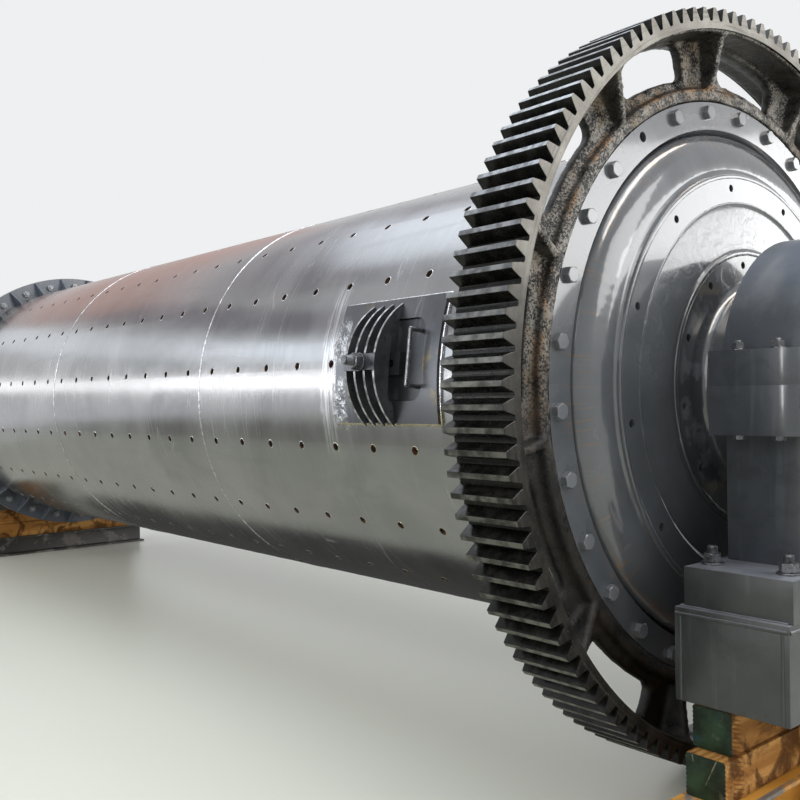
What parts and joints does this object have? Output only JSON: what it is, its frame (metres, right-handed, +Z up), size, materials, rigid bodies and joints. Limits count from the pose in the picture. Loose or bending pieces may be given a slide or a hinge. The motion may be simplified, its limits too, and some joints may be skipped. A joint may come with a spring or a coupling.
{
  "type": "ball mill",
  "caption": "Horizontal overflow ball mill: long rolled steel drum with dished heads, girth gear, clamped manhole and trunnions in plain bearings on timber blocking.",
  "frame": {"origin": "on the ground, midway between the two trunnion ends and under the mill axis", "axes": "+X along the mill axis to the gear and discharge end, +Z up"},
  "size_m": [7.92, 2.64, 2.6699],
  "materials": {
    "shell_steel": "satin",
    "weld_steel": "satin",
    "feed_end_paint": "satin",
    "head_paint": "satin",
    "trunnion_steel": "satin",
    "gear_iron": "rough casting, machined rim and greased teeth",
    "manhole_steel": "satin",
    "bearing_paint": "satin",
    "bush_metal": "machined",
    "timber": "sawn, end grain painted green",
    "beam_paint": "satin"
  },
  "bodies": {
    "base": {"bearing_housing_feed": "bearing_paint", "bearing_housing_discharge": "bearing_paint", "bearing_cap_feed": "bearing_paint", "bearing_cap_discharge": "bearing_paint", "bearing_bush_feed": "bush_metal", "bearing_bush_discharge": "bush_metal", "base_block_feed": "bearing_paint", "base_block_discharge": "bearing_paint", "sub_base_feed": "bearing_paint", "sub_base_discharge": "bearing_paint", "timber_upper_feed": "timber", "timber_upper_discharge": "timber", "timber_lower_feed": "timber", "timber_lower_discharge": "timber", "floor_beam_feed": "beam_paint", "floor_beam_discharge": "beam_paint"},
    "drum": {"shell_course_feed": "shell_steel", "shell_course_middle": "shell_steel", "shell_course_discharge": "shell_steel", "girth_weld_feed": "weld_steel", "girth_weld_discharge": "weld_steel", "shell_flange_feed": "feed_end_paint", "shell_flange_discharge": "feed_end_paint", "head_feed": "head_paint", "head_discharge": "head_paint", "trunnion_feed": "trunnion_steel", "trunnion_discharge": "trunnion_steel", "girth_gear": "gear_iron", "manhole_pad": "shell_steel", "manhole_door": "manhole_steel", "manhole_yoke": "manhole_steel", "manhole_clamp_bolt": "weld_steel", "manhole_handle": "weld_steel"}
  },
  "joints": [
    {"name": "drum_spin", "type": "hinge", "parent": "base", "child": "drum", "pos_m": [3.685, 0, 1.35], "axis": [1, 0, 0], "continuous": true}
  ]
}
